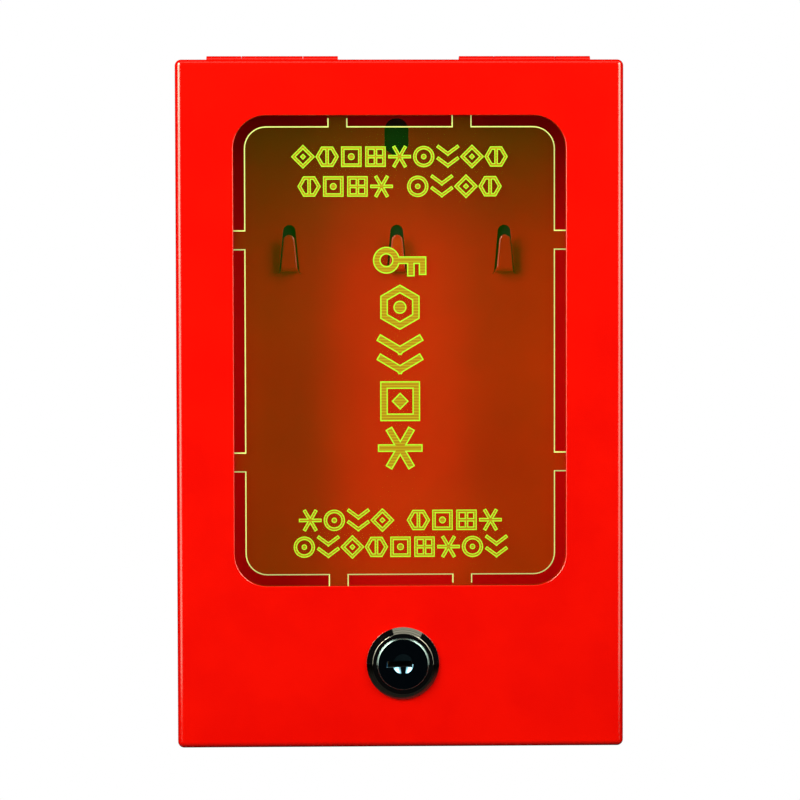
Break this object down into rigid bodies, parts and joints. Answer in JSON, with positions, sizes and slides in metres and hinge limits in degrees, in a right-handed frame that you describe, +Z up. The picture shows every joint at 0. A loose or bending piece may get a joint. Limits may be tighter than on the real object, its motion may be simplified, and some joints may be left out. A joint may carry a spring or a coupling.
{
  "type": "break glass key box",
  "caption": "Wall-hung steel key box with a top-hinged door, a break-out acrylic window, hooks for keys and a cam lock.",
  "frame": {"origin": "middle of the back face, on the wall plane", "axes": "+Y into the wall, so the door faces -Y; +Z up, along the box's height; +X to the right as seen from the front"},
  "size_m": [0.13, 0.0429, 0.2018],
  "materials": {
    "powder_coat": "satin red powder coat on steel sheet",
    "fluorescent_acrylic": "clear fluorescent yellow-green, polished",
    "dark_chrome": "polished black chrome",
    "lock_metal": "cast zinc alloy",
    "zinc_steel": "bright zinc plate",
    "brass": "stamped"
  },
  "bodies": {
    "root": {"body_shell": "powder_coat", "hinge_body_leaf_left": "powder_coat", "hinge_body_leaf_right": "powder_coat", "hinge_pin_left": "zinc_steel", "hinge_pin_right": "zinc_steel"},
    "door": {"door_shell": "powder_coat", "hinge_door_leaf_left": "powder_coat", "hinge_door_leaf_right": "powder_coat", "break_panel": "fluorescent_acrylic", "panel_rail_left": "powder_coat", "panel_rail_right": "powder_coat", "panel_clip": "powder_coat", "clip_stud": "zinc_steel", "clip_washer": "zinc_steel", "clip_nut": "zinc_steel", "lock_housing": "dark_chrome", "lock_washer": "zinc_steel", "lock_nut": "zinc_steel"},
    "lock_core": {"lock_plug": "lock_metal", "plug_cap": "dark_chrome", "wafer_tumblers": "brass", "wafer_springs": "zinc_steel", "stop_washer": "zinc_steel", "lock_cam": "zinc_steel", "cam_washer": "zinc_steel", "cam_screw": "zinc_steel"}
  },
  "joints": [
    {"name": "door_hinge", "type": "hinge", "parent": "root", "child": "door", "pos_m": [0, -0.0266, 0.1], "axis": [-1, 0, 0], "range_deg": [0, 170]},
    {"name": "lock_turn", "type": "hinge", "parent": "door", "child": "lock_core", "pos_m": [0.0006, -0.04, -0.0754], "axis": [0, 1, 0], "range_deg": [0, 90]}
  ]
}
